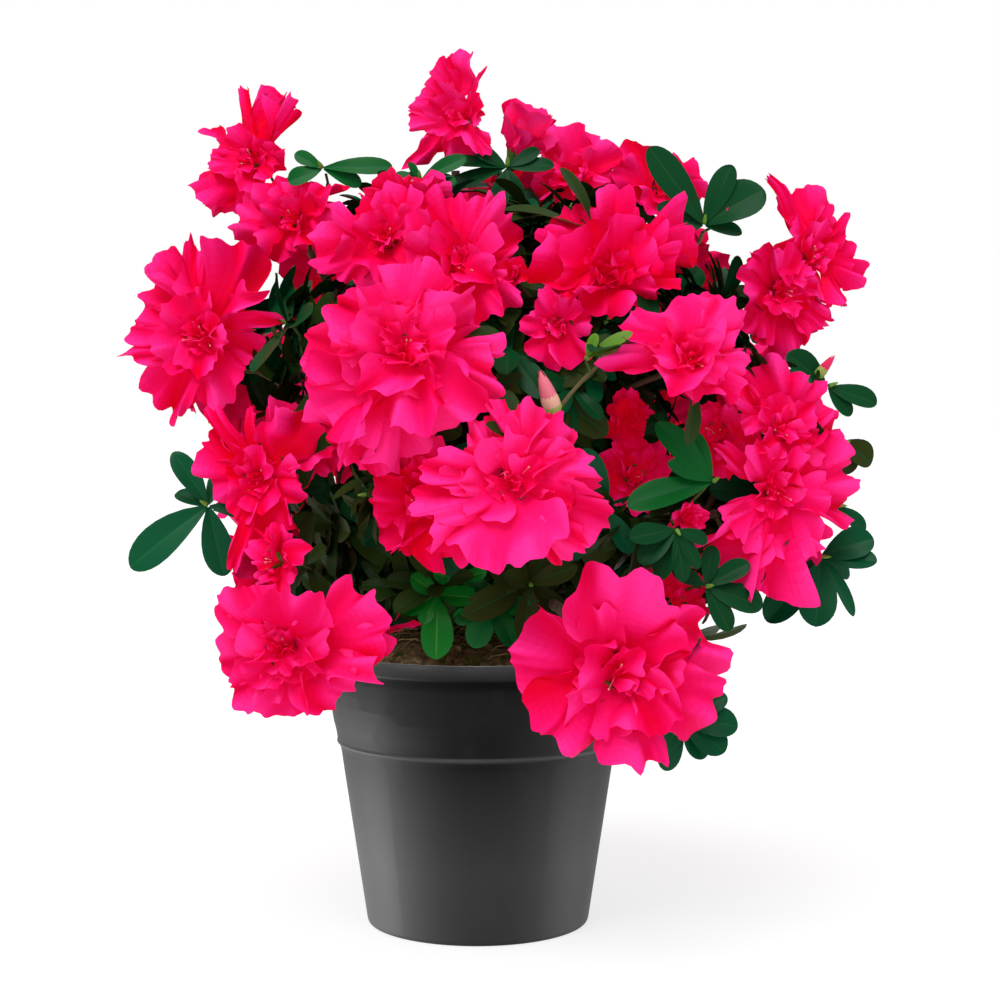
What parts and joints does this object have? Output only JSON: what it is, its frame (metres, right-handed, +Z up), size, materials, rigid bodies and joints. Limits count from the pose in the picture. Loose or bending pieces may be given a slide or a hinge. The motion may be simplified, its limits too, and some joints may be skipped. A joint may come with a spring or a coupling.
{
  "type": "potted azalea shrub",
  "caption": "Low, rounded flowering shrub with ruffled double pink-red blooms and small dark leaves, in a plain round tapering pot.",
  "frame": {"origin": "centre of the flat underside of the pot", "axes": "+Z up along the pot's axis; -Y is the front of the shrub, +X is to the right seen from the front"},
  "size_m": [0.2949, 0.2787, 0.346],
  "materials": {
    "pot_plastic": "plain moulded black plastic, satin, with faint fine scratches",
    "peat": "dark moist peat with moss and pale fibres on top",
    "bark": "thin grey-brown bark with fine cracks along the limb",
    "foliage": "small leathery dark green leaves with a satin upper side and paler underside",
    "blossom": "thin ruffled petals, hot pink-red at the rims and deeper crimson towards the throat"
  },
  "bodies": {
    "root": {"bough_back": "bark", "bough_back_left": "bark", "bough_back_right": "bark", "bough_front": "bark", "bough_front_left": "bark", "bough_front_low": "bark", "bough_front_right": "bark", "bough_left": "bark", "bough_left_top": "bark", "bough_right": "bark", "bough_right_top": "bark", "bough_top": "bark", "mass_back_low_1": "blossom", "mass_back_low_2": "blossom", "mass_back_low_3": "blossom", "mass_back_low_4": "blossom", "mass_back_middle_1": "blossom", "mass_back_middle_2": "blossom", "mass_back_middle_3": "blossom", "mass_back_middle_4": "blossom", "mass_back_middle_5": "blossom", "mass_back_upper_1": "blossom", "mass_back_upper_2": "blossom", "mass_back_upper_3": "blossom", "mass_crown_top": "blossom", "mass_crown_top_right": "blossom", "mass_front_heart": "foliage", "mass_front_middle": "blossom", "mass_front_middle_left": "blossom", "mass_front_top_left": "blossom", "mass_front_top_right": "blossom", "mass_front_tuft": "foliage", "mass_front_upper_heart": "foliage", "mass_front_upper_left": "blossom", "mass_front_upper_right": "blossom", "mass_left_front": "blossom", "mass_left_heart": "foliage", "mass_left_rosette": "foliage", "mass_left_side": "blossom", "mass_left_top": "blossom", "mass_left_top_tip": "blossom", "mass_low_front_left": "blossom", "mass_low_front_right": "blossom", "mass_low_right_heart": "foliage", "mass_low_right_rosette": "foliage", "mass_right_edge_rosette": "foliage", "mass_right_front_low": "blossom", "mass_right_front_upper": "blossom", "mass_right_heart": "foliage", "mass_right_rosette": "foliage", "mass_right_side_upper": "blossom", "mass_right_top": "blossom", "mass_right_top_rosette": "foliage", "mass_top_back": "blossom", "mass_top_left_heart": "foliage", "mass_top_right_heart": "foliage", "pot": "pot_plastic", "root_ball": "peat", "stem": "bark"}
  },
  "joints": []
}
